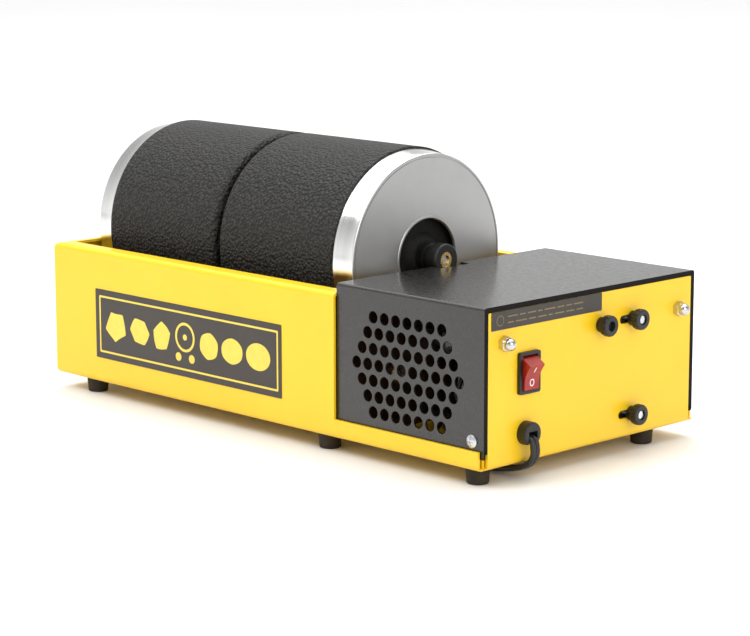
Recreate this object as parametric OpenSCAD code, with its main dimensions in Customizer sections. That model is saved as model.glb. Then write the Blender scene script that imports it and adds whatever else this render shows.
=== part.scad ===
// Twin-barrel rotary rock tumbler.
// Machine coordinates: x runs from the tray's end wall to the motor's end panel,
// y = 0 is the barrels' centre plane, and z = 0 is the underside of the sheet-metal base.
// machine() moves them to the frame of the part, whose origin is on the floor under its middle.

/* [Body] */
// Length of the base over its two end walls
base_l = 338; // [336:1:342]
// Width of the base over its side walls
base_w = 164; // [162:1:170]
// Height of the tray walls
tray_h = 76.2; // [75.6:0.2:76.8]
// Length of the tray, up to the motor housing
tray_l = 234; // [234:0.5:235]
// Thickness of the base's sheet
sheet = 1.5; // [1.2:0.1:1.6]
// Width of the flange along the tray's side walls
flange_w = 10; // [7:0.5:11]
// Height of the low side lips beside the motor
lip_h = 10; // [8:0.5:12]
// Height of the rubber feet
foot_h = 8.2; // [7.8:0.1:9]
// Diameter of the rubber feet
foot_d = 12.5; // [12:0.5:16]

/* [Motor housing] */
// Height of the cover's top
cover_top = 81.3; // [80.8:0.1:81.8]
// Width of the cover
cover_w = 160; // [158:0.5:160.5]
// Diameter of a vent hole
vent_d = 6.4; // [4:0.2:7]
// Spacing of the vent holes along a row
vent_pitch = 8.03; // [7.6:0.01:8.4]
// Spacing of the rows of vent holes
vent_rise = 8.17; // [7.6:0.01:8.6]

/* [Barrels] */
// Radius of the rubber shell
barrel_r = 58.4; // [57:0.1:58.6]
// Height of the barrels' axis
barrel_z = 83.6; // [83.6:0.1:85]
// Length of one barrel over its lid
barrel_l = 104.1; // [103:0.1:104.2]
// Radius of the metal lid
lid_r = 55.8; // [54.4:0.1:55.9]
// Radius of the hole in the metal lid
lid_hole_r = 20.6; // [19.6:0.2:22]
// Gap between the two barrels
barrel_gap = 3.8; // [3.6:0.1:5]

/* [Rollers] */
// Radius of the rubber sleeves
roller_r = 8; // [7:0.1:8.4]
// Distance of each roller from the centre plane
roller_y = 38; // [36:0.5:40]
// Radius of the roller shafts
shaft_r = 4; // [3:0.1:4.5]

/* [Drive] */
// Radius of the driven pulley at the belt's centre line
big_pulley_r = 23.5; // [20:0.1:23.6]
// Radius of the motor pulley at the belt's centre line
small_pulley_r = 5.6; // [5.6:0.1:6.4]
// Radius of the round belt
belt_r = 1.8; // [1.4:0.1:1.8]
// How far the motor slides to slacken the belt
motor_travel = 6; // [3:0.5:6]

/* [Cord] */
// Width of the flat twin lead
cord_w = 5.6; // [5:0.1:5.8]
// Thickness of the flat twin lead
cord_t = 3; // [2.6:0.1:3.2]
// Diameter of the coil at the middle of its turns
coil_d = 62; // [58:1:66]

/* [Hidden] */
$fn = 64;

eps = 0.01;
// Sheet metal
bend_r = 3;
end_flange_w = 7;
side_in = base_w / 2 - sheet;
cover_sheet = 1.2;
cover_in = cover_w / 2 - cover_sheet;
cover_x0 = tray_l + 0.3;
panel_w = cover_w - 5.6;
panel_top = cover_top - 2.8;
panel_x = base_l - sheet;
bulkhead_x = tray_l - 1.8;
notch_w = 22;
notch_d = 7;
// Barrels, along their own axis from the closed end at 0 to the metal lid's face
lid_l = 13.7;
lid_sheet = 1;
lid_flare = 1.4;
rubber_l = barrel_l - lid_l;
cap_under = barrel_l - lid_sheet;
rim_x = barrel_l - 6.7;
cavity_r = 52;
cavity_x = 7;
stud_r = 2.5;
knob_out = 14.1;
barrels_mid = 114.6;
left_closed_x = barrels_mid - barrel_gap / 2;
right_closed_x = barrels_mid + barrel_gap / 2;
// Rollers
roller_gap = 0.25;
roller_reach = barrel_r + roller_r + roller_gap;
roller_z = barrel_z - sqrt(pow(roller_reach, 2) - pow(roller_y, 2));
run_gap = 0.05;
bush_r = 6;
flange_r = 8.5;
pulley_x = 243;
pulley_l = 8;
groove_x = pulley_x + pulley_l / 2;
// Motor, whose shaft is at motor_y, motor_z
motor_y = -10;
motor_z = 47;
core_x = 276;
core_l = 20;
rotor_r = 12.1;
axle_r = 2.5;
shading_y = [15.6, 20.6];
plate_x = 333.2;
// Panel fittings as [y, z]
knob_1 = [5.6, 62.1];
knob_2 = [30.2, 62.2];
knob_3 = [30.2, 12.4];
knobs = [knob_1, knob_2, knob_3];
m4_r = 2;
panel_knob_out = 7.5;
switch_at = [-49, 45.7];
relief_at = [-50.5, 15.4];
cap_nut_at = [66.5, 62.4];
cover_screw_at = [330.2, 14.5];
feet = [
    [26, -72.5], [221, -72.5], [327, -72.5],
    [26, 51], [221, 51], [328, 51]
];
// The part's origin: halfway between the left knob's end and the panel knobs' ends
left_end_x = left_closed_x - barrel_l - knob_out;
x_mid = (left_end_x + base_l + panel_knob_out) / 2;

yellow = [0.99, 0.83, 0.22];
satin_black = [0.27, 0.26, 0.25];
rubber = [0.16, 0.16, 0.16];
plastic = [0.09, 0.09, 0.09];
alloy = [0.78, 0.79, 0.80];
steel = [0.70, 0.71, 0.72];
brass = [0.80, 0.62, 0.30];
copper = [0.72, 0.42, 0.24];

// Route of the lead in the part's frame: [x, y, z, roll of its wide side from level]
route = [
    [171, -50.5, 22, 0], [174, -50.5, 20, 0], [175, -50.5, 16, 0], [174.5, -50.5, 12.5, 0],
    [172, -50.5, 9, 0], [168, -51, 6.5, 0], [163, -51.5, 5, 0], [156, -51.5, 3.5, 0],
    [148, -50, 2.2, 0], [138, -46, 1.7, 0], [126, -40, 1.6, 0], [112, -31, 1.6, 0],
    [98, -21, 1.6, 0], [82, -8, 1.6, 0], [66, 7, 1.6, 0], [50, 22, 1.6, 0], [34, 38, 1.6, 0],
    [20, 54, 1.8, 15], [7, 69, 2.3, 35], [-6, 81, 2.8, 60], [-18, 89, 3.1, 80], [-30, 92, 3.3, 90]
];
// Coil of the put-away length, and the tail from it to the plug
coil_at = [-30, 128];
coil_low = 0.5;
coil_wide = 13;
coil_high = 11.4;
tail = [
    [-30, 164, 9, 90], [-20, 164, 8.6, 90], [-10, 162, 7.6, 80], [0, 158, 7, 50],
    [9, 153, 6.8, 20], [18, 149, 6.8, 0], [25, 147, 6.8, 0]
];
plug_at = [24, 147, 6.8];

// ---------- helpers ----------

module machine() translate([-x_mid, 0, foot_h]) children();

// A rectangle with round corners, centred
module round_rect(w, h, r) {
    square([w - 2 * r, h], center = true);
    square([w, h - 2 * r], center = true);
    for (x = [-1, 1], y = [-1, 1])
        translate([x * (w / 2 - r), y * (h / 2 - r)]) circle(r);
}

// Extrudes a y-z outline along x, from x0 for a length l
module along_x(x0, l) translate([x0, 0, 0]) rotate([90, 0, 90]) linear_extrude(l) children();

// Extrudes an x-z outline along y, over |y| < w / 2
module along_y(w) translate([0, w / 2, 0]) rotate([90, 0, 0]) linear_extrude(w) children();

// Turns a [radius, x] outline about the x axis
module turned(outline) rotate([90, 0, 90]) rotate_extrude() polygon(outline);

module rod(r, x0, x1) translate([x0, 0, 0]) rotate([0, 90, 0]) cylinder(r = r, h = x1 - x0);

module tube(r, bore, x0, x1) {
    difference() {
        rod(r, x0, x1);
        rod(bore, x0 - 1, x1 + 1);
    }
}

module block(x0, x1, y0, y1, z0, z1) translate([x0, y0, z0]) cube([x1 - x0, y1 - y0, z1 - z0]);

module at_yz(p) translate([0, p[0], p[1]]) children();

function arc(cx, cy, r, a0, a1, n = 6) =
    [for (i = [0:n]) let (a = a0 + (a1 - a0) * i / n) [cx + r * cos(a), cy + r * sin(a)]];

// Unit tangent of a route at point i
function ahead(p, i) =
    let (d = p[min(i + 1, len(p) - 1)] - p[max(i - 1, 0)], v = [d[0], d[1], d[2]])
    v / norm(v);

// One ring of a lead, eight points round an oval whose wide side starts out along side
function ring(p, i, wide, thick, side) =
    let (
        t = ahead(p, i),
        level = side - (side * t) * t,
        s = level / norm(level),
        u = cross(t, s),
        roll = p[i][3],
        w = s * cos(roll) + u * sin(roll),
        n = u * cos(roll) - s * sin(roll)
    )
    [for (k = [0:7]) [p[i][0], p[i][1], p[i][2]]
        + w * wide / 2 * cos(45 * k) + n * thick / 2 * sin(45 * k)];

// Catmull-Rom point between route points i and i + 1
function between(p, i, t) =
    let (a = p[max(i - 1, 0)], b = p[i], c = p[i + 1], d = p[min(i + 2, len(p) - 1)])
    0.5 * (2 * b + (c - a) * t + (2 * a - 5 * b + 4 * c - d) * t * t
        + (3 * b - a - 3 * c + d) * t * t * t);

function smooth(p, n) = concat(
    [for (i = [0:len(p) - 2], k = [0:n - 1]) between(p, i, k / n)],
    [p[len(p) - 1]]
);

module lead(points, wide, thick, side = [0, 1, 0]) {
    line = smooth(points, 2);
    rings = [for (i = [0:len(line) - 1]) each ring(line, i, wide, thick, side)];
    last = 8 * (len(line) - 1);
    polyhedron(rings, concat(
        [[for (k = [0:7]) k]],
        [[for (k = [7:-1:0]) last + k]],
        [for (i = [0:len(line) - 2], k = [0:7], half = [0, 1])
            let (a = 8 * i + k, b = 8 * i + (k + 1) % 8)
            half == 0 ? [a, a + 8, b + 8] : [a, b + 8, b]]
    ));
}

// ---------- sheet metal ----------

// A box of bent sheet: outside when inset is 0, inside when it is the sheet's thickness
module pressed_box(x0, x1, top, inset) {
    r = bend_r - inset;
    h = top - 2 * inset;
    intersection() {
        along_x(x0, x1 - x0)
            translate([0, top / 2]) round_rect(base_w - 2 * inset, h, r);
        along_y(base_w + 2)
            translate([x0 + inset, inset]) {
                translate([r, 0]) square([x1 - x0 - 2 * inset - 2 * r, h]);
                translate([0, r]) square([x1 - x0 - 2 * inset, h - 2 * r]);
                for (x = [r, x1 - x0 - 2 * inset - r], z = [r, h - r])
                    translate([x, z]) circle(r);
            }
    }
}

module panel_holes() {
    at_yz(switch_at) block(panel_x - 1, base_l + 1, -6.6, 6.6, -9.7, 9.7);
    at_yz(relief_at) rod(5.05, panel_x - 1, base_l + 1);
    for (s = [-1, 1])
        translate([0, s * cap_nut_at[0], cap_nut_at[1]]) rod(2.2, panel_x - 1, base_l + 1);
    stud_slot(knob_1, 0);
    stud_slot(knob_2, 7.5);
    stud_slot(knob_3, 7.5);
}

// A level slot for a clamping stud, which reaches before_y further back than the stud needs
module stud_slot(p, before_y) {
    y0 = p[0] - before_y;
    y1 = p[0] + motor_travel;
    block(panel_x - 1, base_l + 1, y0, y1, p[1] - 2.2, p[1] + 2.2);
    for (y = [y0, y1]) at_yz([y, p[1]]) rod(2.2, panel_x - 1, base_l + 1);
}

module end_panel() {
    along_x(panel_x, sheet)
        translate([0, panel_top / 2]) round_rect(panel_w, panel_top, 0.8);
}

module base_tray() color(yellow) machine() {
    difference() {
        union() {
            difference() {
                pressed_box(0, base_l, tray_h, 0);
                pressed_box(0, base_l, tray_h, sheet);
                // Mouth of the tray, inside its flanges
                block(end_flange_w, tray_l + 1, flange_w - base_w / 2, base_w / 2 - flange_w,
                    tray_h - sheet - 1, tray_h + 1);
                // All of the motor section above its lips
                block(tray_l, base_l + 1, -base_w, base_w, lip_h, tray_h + 1);
                // Corner reliefs between the lips and the end panel
                for (side = [0, 1])
                    mirror([0, side, 0])
                        block(base_l - 2.2, base_l + 1, panel_w / 2, base_w / 2 + 1, sheet, lip_h + 1);
                // Clear the bent end wall where the flat end panel takes over
                block(panel_x - 4, base_l + 1, -panel_w / 2, panel_w / 2, bend_r, lip_h + 1);
            }
            difference() {
                end_panel();
                block(panel_x - 1, base_l + 1, -base_w, base_w, -1, bend_r);
            }
            // Tabs inside the cover, which its two side screws bite into
            for (s = [-1, 1])
                translate([0, s * (cover_in - 0.75), 0]) block(322, 336, -0.7, 0.7, sheet - 0.1, 22);
        }
        panel_holes();
        // Notch in the end wall for the left barrel's knob
        block(-1, end_flange_w + 1, -notch_w / 2, notch_w / 2, tray_h - 8, tray_h + 1);
        for (s = [-1, 1]) {
            translate([0, s * roller_y, roller_z]) rod(bush_r + 0.05, -1, sheet + 1);
            translate([cover_screw_at[0], s * cover_in, cover_screw_at[1]])
                rotate([90, 0, 0]) cylinder(r = 1.55, h = 8, center = true);
        }
        for (p = feet) translate([p[0], p[1], -1]) cylinder(r = 1.95, h = sheet + 2);
    }
}

module bulkhead() color(yellow) machine() {
    top = tray_h - sheet - 0.2;
    difference() {
        union() {
            difference() {
                block(bulkhead_x, bulkhead_x + sheet, -side_in + 0.1, side_in - 0.1, sheet, top);
                for (s = [-1, 1])
                    translate([0, s * side_in, sheet]) rotate([45, 0, 0])
                        block(bulkhead_x - 1, tray_l + 1, -2, 2, -2, 2);
            }
            // Foot flange spot-welded to the floor
            block(bulkhead_x, bulkhead_x + 12, -76, 76, sheet, 2 * sheet);
        }
        block(bulkhead_x - 1, tray_l + 1, -notch_w / 2, notch_w / 2, tray_h - 9, tray_h);
        for (s = [-1, 1])
            translate([0, s * roller_y, roller_z]) rod(bush_r + 0.05, bulkhead_x - 1, tray_l + 1);
    }
}

// Staggered rows of seven to ten holes and back to seven
module vents() {
    rows = [7, 8, 9, 10, 9, 8, 7];
    for (j = [0:len(rows) - 1], i = [0:rows[j] - 1])
        translate([285.1 + (i - (rows[j] - 1) / 2) * vent_pitch, 0, 42.3 + (3 - j) * vent_rise])
            rotate([90, 0, 0]) cylinder(d = vent_d, h = base_w + 2, center = true, $fn = 32);
}

module motor_cover() color(satin_black) machine() {
    skirt = 5.8;
    bend = 1.5;
    difference() {
        along_x(cover_x0, base_l - cover_x0)
            translate([0, (cover_top + skirt) / 2]) round_rect(cover_w, cover_top - skirt, bend);
        along_x(cover_x0 - 1, panel_x - cover_x0 + 1.2)
            translate([0, cover_top / 2 - cover_sheet])
                round_rect(2 * cover_in, cover_top, bend - cover_sheet);
        // Opening that the end panel stands in
        along_x(panel_x, sheet + 1)
            translate([0, panel_top / 2 + 0.1]) round_rect(panel_w + 0.4, panel_top + 0.2, 1);
        block(cover_x0 - 1, base_l + 1, -cover_in, cover_in, 0, skirt + 3);
        vents();
        block(cover_x0 - 1, cover_x0 + notch_d, -notch_w / 2, notch_w / 2, cover_top - 4, cover_top + 1);
        for (s = [-1, 1])
            translate([cover_screw_at[0], s * cover_in, cover_screw_at[1]])
                rotate([90, 0, 0]) cylinder(r = 1.75, h = 8, center = true);
    }
    // Tabs behind the end panel, with the weld studs that the cap nuts hold
    for (s = [-1, 1]) {
        translate([0, s * 67, 0])
            block(panel_x - 1.4, panel_x - 0.1, -9, 9, 54, cover_top - cover_sheet + 0.1);
        translate([0, s * cap_nut_at[0], cap_nut_at[1]]) rod(m4_r, panel_x - 1, base_l + 5);
    }
}

module rubber_feet() color(plastic) machine() {
    for (p = feet)
        translate([p[0], p[1], -foot_h]) rotate_extrude()
            polygon(concat(
                [[2.2, foot_h], [2.2, 3], [3.9, 3], [3.9, 0], [foot_d / 2 - 1.4, 0]],
                arc(foot_d / 2 - 1.4, 0.8, 0.8, -90, 0),
                [[foot_d / 2, foot_h]]
            ));
}

module foot_screws() color(steel) machine() {
    for (p = feet)
        translate([p[0], p[1], 0]) {
            difference() {
                translate([0, 0, 1 - foot_h]) cylinder(r = 3.5, h = 2);
                translate([0, 0, -foot_h]) cross_recess(1.9);
            }
            translate([0, 0, 3 - foot_h - eps]) cylinder(r = 1.9, h = foot_h + 1.5);
        }
}

// Cross-shaped driver recess, cut upwards from z = 0
module cross_recess(depth) {
    for (a = [0, 90])
        rotate([0, 0, a]) translate([-2, -0.45, 0]) cube([4, 0.9, depth]);
}

module cover_screws() color(steel) machine() {
    for (s = [-1, 1])
        translate([cover_screw_at[0], s * cover_w / 2, cover_screw_at[1]]) rotate([-s * 90, 0, 0]) {
            difference() {
                intersection() {
                    cylinder(r = 3.35, h = 1.6);
                    translate([0, 0, -4.4]) sphere(r = 6);
                }
                translate([0, 0, 0.8]) cross_recess(2);
            }
            translate([0, 0, -5]) cylinder(r = 1.5, h = 5 + eps);
        }
}

module cap_nuts() color(steel) machine() {
    for (s = [-1, 1])
        translate([base_l, s * cap_nut_at[0], cap_nut_at[1]]) rotate([0, 90, 0]) difference() {
            union() {
                intersection() {
                    cylinder(r = 7 / sqrt(3), h = 3.2, $fn = 6);
                    translate([0, 0, -4.2]) sphere(r = 8.1);
                }
                cylinder(r = 3.25, h = 4.3);
                translate([0, 0, 4.25]) sphere(r = 3.25);
            }
            translate([0, 0, -5 + eps]) cylinder(r = 5, h = 5);
            translate([0, 0, -1]) cylinder(r = m4_r + 0.05, h = 6.2);
        }
}

module nameplate() color(satin_black) machine() {
    translate([116.05, -base_w / 2, 34.35]) rotate([90, 0, 0])
        linear_extrude(0.3) round_rect(156.5, 39.5, 0.6);
}

module end_label() color(satin_black) machine() {
    along_x(base_l, 0.3) translate([-34.7, 73.95]) round_rect(81.2, 9.1, 0.4);
}

// ---------- rollers and drive ----------

module shaft_bushes() color(brass) machine() {
    for (s = [-1, 1])
        translate([0, s * roller_y, roller_z]) {
            difference() {
                union() {
                    rod(bush_r, -1, sheet + eps);
                    rod(flange_r, sheet, 2 * sheet);
                }
                rod(shaft_r + run_gap, -2, 5);
            }
            difference() {
                union() {
                    rod(bush_r, bulkhead_x - eps, bulkhead_x + 6);
                    rod(flange_r, bulkhead_x - sheet, bulkhead_x);
                }
                rod(shaft_r + run_gap, bulkhead_x - 3, bulkhead_x + 8);
            }
        }
}

module roller_at(side) machine() translate([0, side * roller_y, roller_z]) children();

module roller_shaft(side, x1) roller_at(side) rod(shaft_r, -0.7, x1);

module roller_sleeve(side) roller_at(side) {
    difference() {
        turned(concat(
            [[shaft_r + eps, 14]],
            arc(roller_r - 1, 15, 1, -90, 0, 3),
            arc(roller_r - 1, 215, 1, 0, 90, 3),
            [[shaft_r + eps, 216]]
        ));
        // Shallow grip grooves round the sleeve
        for (x = [34:18:196]) tube(roller_r + 1, roller_r - 0.4, x, x + 1.2);
    }
}

// Set collars that keep a shaft from sliding along, each with its grub screw's hole
module roller_collars(side) roller_at(side) {
    for (x = [3.4, bulkhead_x - 7])
        difference() {
            tube(7, shaft_r + eps, x, x + 5);
            translate([x + 2.5, 0, 3]) cylinder(r = 1.4, h = 6);
        }
}

module drive_shaft() color(steel) roller_shaft(1, pulley_x + pulley_l + 4);
module drive_sleeve() color(rubber) roller_sleeve(1);
module drive_collars() color(steel) roller_collars(1);
module idler_shaft() color(steel) roller_shaft(-1, bulkhead_x + 8);
module idler_sleeve() color(rubber) roller_sleeve(-1);
module idler_collars() color(steel) roller_collars(-1);

// A pulley with a round groove for the belt, about the x axis
module grooved_pulley(pitch_r, rim_r, bore) {
    difference() {
        rod(rim_r, pulley_x, pulley_x + pulley_l);
        rod(bore, pulley_x - 1, pulley_x + pulley_l + 1);
        translate([groove_x, 0, 0]) rotate([0, 90, 0]) rotate_extrude() {
            translate([pitch_r, 0]) circle(belt_r + 0.3, $fn = 32);
            translate([pitch_r, -belt_r - 0.3]) square([4, 2 * belt_r + 0.6]);
        }
    }
}

module drive_pulley() color(plastic) roller_at(1) {
    difference() {
        grooved_pulley(big_pulley_r, big_pulley_r + 1.8, shaft_r + eps);
        // Lightening holes between its spokes
        for (a = [0:60:300]) rotate([a, 0, 0]) translate([0, 0, 13]) rod(3.6, pulley_x - 1, pulley_x + 9);
    }
    tube(7, shaft_r + eps, pulley_x + pulley_l - eps, pulley_x + pulley_l + 3);
}

module drive_belt() color(rubber) machine() {
    a = [roller_y, roller_z];
    b = [motor_y, motor_z];
    d = a - b;
    gap = norm(d);
    lean = asin((big_pulley_r - small_pulley_r) / gap);
    turn = atan2(d[1], d[0]);
    translate([groove_x, b[0], b[1]]) rotate([90, 0, 90]) rotate([0, 0, turn]) {
        translate([gap, 0]) rotate([0, 0, -90 - lean]) rotate_extrude(angle = 180 + 2 * lean)
            translate([big_pulley_r, 0]) circle(belt_r, $fn = 32);
        rotate([0, 0, 90 + lean]) rotate_extrude(angle = 180 - 2 * lean)
            translate([small_pulley_r, 0]) circle(belt_r, $fn = 32);
        for (s = [-1, 1])
            rotate([0, 0, s * (90 + lean)]) translate([small_pulley_r, 0, 0])
                rotate([s * 90, 0, 0]) mirror([0, 0, 1])
                    translate([0, 0, -eps]) cylinder(r = belt_r, h = gap * cos(lean) + 2 * eps, $fn = 32);
    }
}

// ---------- motor ----------

module at_motor() machine() translate([0, motor_y, motor_z]) children();

module motor_plate() color(steel) machine() {
    difference() {
        along_x(plate_x, sheet) translate([1.5, 37.5]) round_rect(71, 62, 4);
        for (p = knobs) at_yz(p) rod(m4_r + eps, plate_x - 1, plate_x + 3);
        for (s = [-1, 1]) translate([0, motor_y + s * 19, motor_z]) rod(1.6, plate_x - 1, plate_x + 3);
        // Window behind the rotor
        translate([0, motor_y, motor_z]) rod(9, plate_x - 1, plate_x + 3);
    }
}

module motor_core() color(steel) at_motor() {
    difference() {
        along_x(core_x, core_l) translate([0, -8]) round_rect(48, 56, 3);
        rod(rotor_r + 0.4, core_x - 1, core_x + core_l + 1);
        // Window that the coil passes through
        block(core_x - 1, core_x + core_l + 1, -14.5, 14.5, -26, -15.5);
        for (s = [-1, 1]) translate([0, s * 19, 0]) rod(1.6, core_x - 1, core_x + core_l + 1);
        // Slots that the shading rings sit in
        for (y = shading_y, s = [-1, 1])
            translate([0, s * y, 9]) rod(0.9, core_x - 1, core_x + core_l + 1);
    }
}

// Closed copper loops through the core, one on each side of the rotor
module shading_rings() color(copper) at_motor() {
    out = 1.8;
    for (s = [0, 1])
        mirror([0, s, 0]) {
            for (y = shading_y)
                translate([0, y, 9]) rod(0.85, core_x - out, core_x + core_l + out);
            for (x = [core_x - out, core_x + core_l + 0.1])
                block(x, x + out - 0.1, shading_y[0], shading_y[1], 8.15, 9.85);
        }
}

module motor_coil() color(copper) at_motor() {
    difference() {
        translate([core_x + core_l / 2, 0, -31]) rotate([90, 0, 0])
            linear_extrude(28, center = true) round_rect(core_l + 16, 26, 5);
        // Bar of the core inside the winding
        block(core_x - 0.1, core_x + core_l + 0.1, -15, 15, -36.1, -25.9);
    }
}

module motor_brackets() color(alloy) at_motor() {
    for (x = [core_x - 11, core_x + core_l + 9])
        difference() {
            union() {
                along_x(x, 2) round_rect(48, 11, 3);
                rod(6.5, x - 1.5, x + 3.5);
            }
            rod(axle_r + run_gap, x - 3, x + 5);
            for (s = [-1, 1]) translate([0, s * 19, 0]) rod(1.6, x - 1, x + 3);
        }
}

module motor_spacers() color(alloy) at_motor() {
    for (s = [-1, 1])
        translate([0, s * 19, 0]) {
            tube(3.2, 1.6, core_x - 9, core_x);
            tube(3.2, 1.6, core_x + core_l, core_x + core_l + 9);
            tube(3.2, 1.6, core_x + core_l + 11, plate_x);
        }
}

module motor_screws() color(steel) at_motor() {
    for (s = [-1, 1])
        translate([0, s * 19, 0]) {
            rod(1.5, core_x - 11, plate_x + sheet);
            difference() {
                rod(3, core_x - 13, core_x - 11 + eps);
                translate([core_x - 14, 0, 0]) rotate([0, 90, 0]) cross_recess(2);
            }
        }
}

module adjust_studs() color(steel) machine() {
    for (i = [0:2])
        at_yz(knobs[i]) {
            rod(m4_r, plate_x + sheet - eps, base_l + (i == 0 ? 4 : panel_knob_out - 0.8));
            // Square weld nut behind the plate
            block(plate_x - 2.4, plate_x, -3.5, 3.5, -3.5, 3.5);
            rod(m4_r, plate_x - eps, plate_x + sheet);
        }
}

module motor_rotor() color(steel) at_motor() {
    difference() {
        union() {
            rod(rotor_r, core_x, core_x + core_l);
            tube(rotor_r - 1, 8, core_x - 2.5, core_x + core_l + 2.5);
        }
        rod(axle_r + eps, core_x - 3, core_x + core_l + 3);
    }
}

module motor_shaft() color(steel) at_motor() rod(axle_r, pulley_x - 3, core_x + core_l + 14);

module motor_pulley() color(brass) at_motor() {
    grooved_pulley(small_pulley_r, small_pulley_r + 2.4, axle_r + eps);
}

module cooling_fan() color(plastic) at_motor() {
    x0 = pulley_x + pulley_l + 3;
    difference() {
        union() {
            rod(6, x0, x0 + 7);
            for (a = [0:60:300])
                rotate([a, 0, 0]) translate([x0 + 3.5, 0, 5]) rotate([0, 0, 32])
                    translate([-0.6, -4.6, 0]) cube([1.2, 9.2, 14]);
        }
        rod(axle_r + eps, x0 - 1, x0 + 8);
    }
}

// ---------- end panel fittings ----------

// Clamping thumb knob, about the x axis with its foot on the panel
module adjust_knob(p) color(plastic) machine() at_yz(p) {
    h = panel_knob_out;
    r = 5.4;
    difference() {
        turned([for (p = concat(
            [[m4_r + run_gap, 0.2], [3.9, 0.2], [3.9, 3.2], [r - 0.5, 3.4], [r, 3.9]],
            arc(r - 0.8, h - 0.8, 0.8, 0, 90, 4),
            [[2.6, h], [2.6, h - 2.2], [m4_r + run_gap, h - 2.2]]
        )) p + [0, base_l]]);
        // Flutes round the head
        for (a = [0:30:330])
            rotate([a, 0, 0]) translate([0, 0, r + 0.45]) rod(0.8, base_l + 3, base_l + h + 1);
    }
}

module adjust_knob_1() adjust_knob(knob_1);
module adjust_knob_2() adjust_knob(knob_2);
module adjust_knob_3() adjust_knob(knob_3);

module switch_body() color(plastic) machine() at_yz(switch_at) {
    difference() {
        union() {
            along_x(base_l, 2) round_rect(15, 21, 1.2);
            block(base_l - 20, base_l + eps, -6.4, 6.4, -9.5, 9.5);
        }
        block(base_l - 9, base_l + 3, -5.45, 5.45, -8.9, 8.9);
    }
}

module switch_terminals() color(brass) machine() at_yz(switch_at) {
    for (z = [-7, 0, 7]) block(base_l - 28, base_l - 20, -2.4, 2.4, z - 0.4, z + 0.4);
}

// The rocker is drawn level about its pivot and then tipped, with its upper end standing out
module switch_rocker() color([0.78, 0.20, 0.15]) machine() at_yz(switch_at) {
    tip = 17;
    half_w = 5.2;
    face = [[0.8, 8.5], [7.2, 6.6], [6.5, 4.2], [6, 2.2]];
    translate([base_l - 2, 0, 0]) rotate([0, tip, 0]) translate([0, half_w, 0]) rotate([90, 0, 0])
        linear_extrude(2 * half_w) polygon(concat(
            [for (p = face) [p[0], -p[1]]],
            [[5.75, 0]],
            [for (i = [len(face) - 1:-1:0]) face[i]],
            [[-1, 8.2]],
            arc(-3, 0, 3, 90, 270, 8),
            [[-1, -8.2]]
        ));
}

module strain_relief() color(plastic) machine() at_yz(relief_at) {
    hood = 5.7;
    difference() {
        union() {
            turned([for (p = concat(
                [[0, 0], [6, 0]],
                arc(5.2, hood - 0.8, 0.8, 0, 90, 4),
                [[0, hood]]
            )) p + [0, base_l]]);
            rod(4.9, panel_x - 6, base_l + eps);
            rod(5.8, panel_x - 6, panel_x - 3);
        }
        // Way out for the lead at the lower front of the hood
        block(base_l + 1.2, base_l + 8, -cord_w / 2 - 0.3, cord_w / 2 + 0.3, -8, 1.4);
        block(base_l - 9, base_l + 4, -cord_w / 2 - 0.3, cord_w / 2 + 0.3, -cord_t / 2 - 0.2,
            cord_t / 2 + 0.2);
    }
}

// A round wire through points, whose run never lies along side
module wire(points, r, side = [0, 1, 0]) lead([for (p = points) [each p, 0]], 2 * r, 2 * r, side);

nut_ends = [[300, -62, 4.7], [300, -52, 4.7]];

module lead_wires() color(plastic) machine() {
    live = [base_l - 8, relief_at[0] - 1.4, relief_at[1]];
    neutral = [base_l - 8, relief_at[0] + 1.4, relief_at[1]];
    switch_in = [309.8, switch_at[0], switch_at[1] - 7];
    switch_out = [309.8, switch_at[0], switch_at[1]];
    nut_mouth = [8.3, 0, 0];
    wire([live, [318, -52, 14], [306, -51, 20], [304, -49, 34], switch_in], 1.1);
    wire([neutral, [320, -48, 12], [313, -52, 5.5], nut_ends[1] + nut_mouth], 1.1);
    wire([switch_out, [302, -50, 44], [300, -60, 30], [313, -62, 10], nut_ends[0] + nut_mouth], 1.1);
    // Motor leads from the wire nuts to the coil
    for (i = [0, 1])
        wire([nut_ends[i] - [4.3, 0, 0], [284, -50 - 8 * (1 - i), 6], [272, -40, 9 + 4 * i],
            [272, -24.5, 10 + 4 * i]], 1, [0, 0, 1]);
}

module wire_nuts() color([0.85, 0.35, 0.10]) machine() {
    for (e = nut_ends)
        translate(e - [4, 0, 0]) rotate([0, 90, 0]) cylinder(r1 = 1.8, r2 = 3.1, h = 12);
}

// ---------- barrels ----------

// Places a barrel whose own x axis runs from its closed end to its lid
module barrel_at(side) {
    if (side > 0)
        machine() translate([right_closed_x, 0, barrel_z]) children();
    else
        machine() translate([left_closed_x, 0, barrel_z]) mirror([1, 0, 0]) children();
}

module shell(side) color(rubber) barrel_at(side) {
    edge = 3;
    difference() {
        turned(concat(
            [[0, 0]],
            arc(barrel_r - edge, edge, edge, -90, 0),
            arc(barrel_r - 0.8, rubber_l - 0.8, 0.8, 0, 90, 3),
            [[lid_r - 0.9, rubber_l], [lid_r - 0.9, rim_x], [0, rim_x]]
        ));
        // Ten-sided inside, which lifts the load as the barrel turns
        translate([cavity_x, 0, 0]) rotate([0, 90, 0])
            cylinder(r = cavity_r, h = barrel_l, $fn = 10);
    }
}

module inner_lid(side) color(rubber) barrel_at(side) {
    plug_r = cavity_r * cos(18) - 0.2;
    turned([
        [stud_r + 0.05, rim_x - 5.4], [plug_r - 1, rim_x - 5.4], [plug_r, rim_x - 4.4],
        [plug_r, rim_x], [lid_r - 1, rim_x], [lid_r - 1, cap_under], [24, cap_under],
        [22.6, cap_under - 3.6], [13, cap_under - 3.6], [9.5, cap_under], [stud_r + 0.05, cap_under]
    ]);
}

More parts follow.
